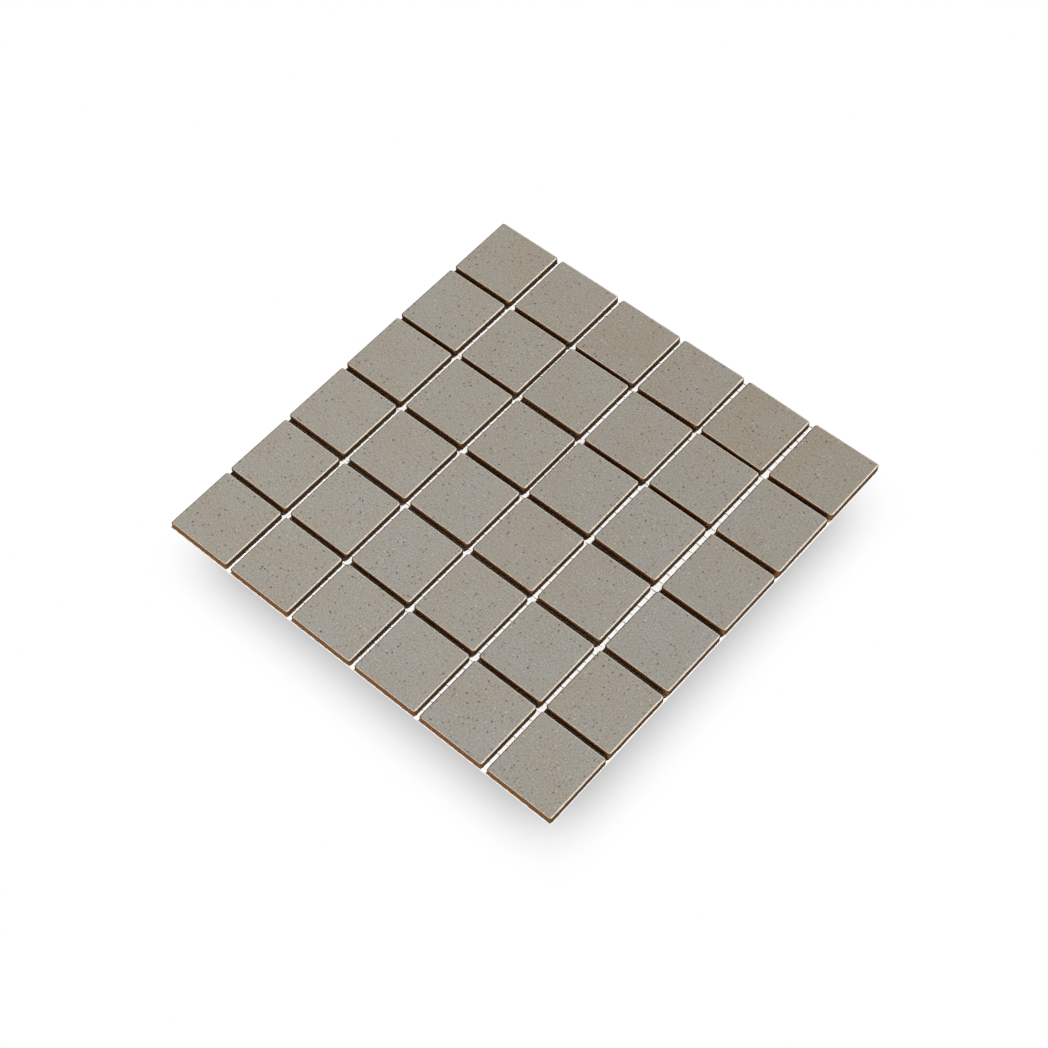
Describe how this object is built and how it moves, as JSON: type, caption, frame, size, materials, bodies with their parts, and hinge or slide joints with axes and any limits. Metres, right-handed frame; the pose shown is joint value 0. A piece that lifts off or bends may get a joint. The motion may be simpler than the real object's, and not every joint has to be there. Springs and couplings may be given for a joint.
{
  "type": "mosaic tile sheet",
  "caption": "Square sheet of small matte grey speckled stoneware mosaic tiles with open joints, bonded to a white woven backing net.",
  "frame": {"origin": "middle of the sheet on the underside of the backing net, where the sheet lies on the floor or meets the wall", "axes": "+Z out of the tile faces; X along the tile rows, Y along the tile columns"},
  "size_m": [0.303, 0.3038, 0.0055],
  "materials": {
    "stoneware": "unglazed matte warm grey with fine dark iron specks, browner on the sides",
    "net": "white coated glass-fibre yarn"
  },
  "bodies": {
    "root": {"net_warp_yarns": "net", "net_weft_yarns": "net", "tile_r1_c1": "stoneware", "tile_r1_c2": "stoneware", "tile_r1_c3": "stoneware", "tile_r1_c4": "stoneware", "tile_r1_c5": "stoneware", "tile_r1_c6": "stoneware", "tile_r2_c1": "stoneware", "tile_r2_c2": "stoneware", "tile_r2_c3": "stoneware", "tile_r2_c4": "stoneware", "tile_r2_c5": "stoneware", "tile_r2_c6": "stoneware", "tile_r3_c1": "stoneware", "tile_r3_c2": "stoneware", "tile_r3_c3": "stoneware", "tile_r3_c4": "stoneware", "tile_r3_c5": "stoneware", "tile_r3_c6": "stoneware", "tile_r4_c1": "stoneware", "tile_r4_c2": "stoneware", "tile_r4_c3": "stoneware", "tile_r4_c4": "stoneware", "tile_r4_c5": "stoneware", "tile_r4_c6": "stoneware", "tile_r5_c1": "stoneware", "tile_r5_c2": "stoneware", "tile_r5_c3": "stoneware", "tile_r5_c4": "stoneware", "tile_r5_c5": "stoneware", "tile_r5_c6": "stoneware", "tile_r6_c1": "stoneware", "tile_r6_c2": "stoneware", "tile_r6_c3": "stoneware", "tile_r6_c4": "stoneware", "tile_r6_c5": "stoneware", "tile_r6_c6": "stoneware"}
  },
  "joints": []
}
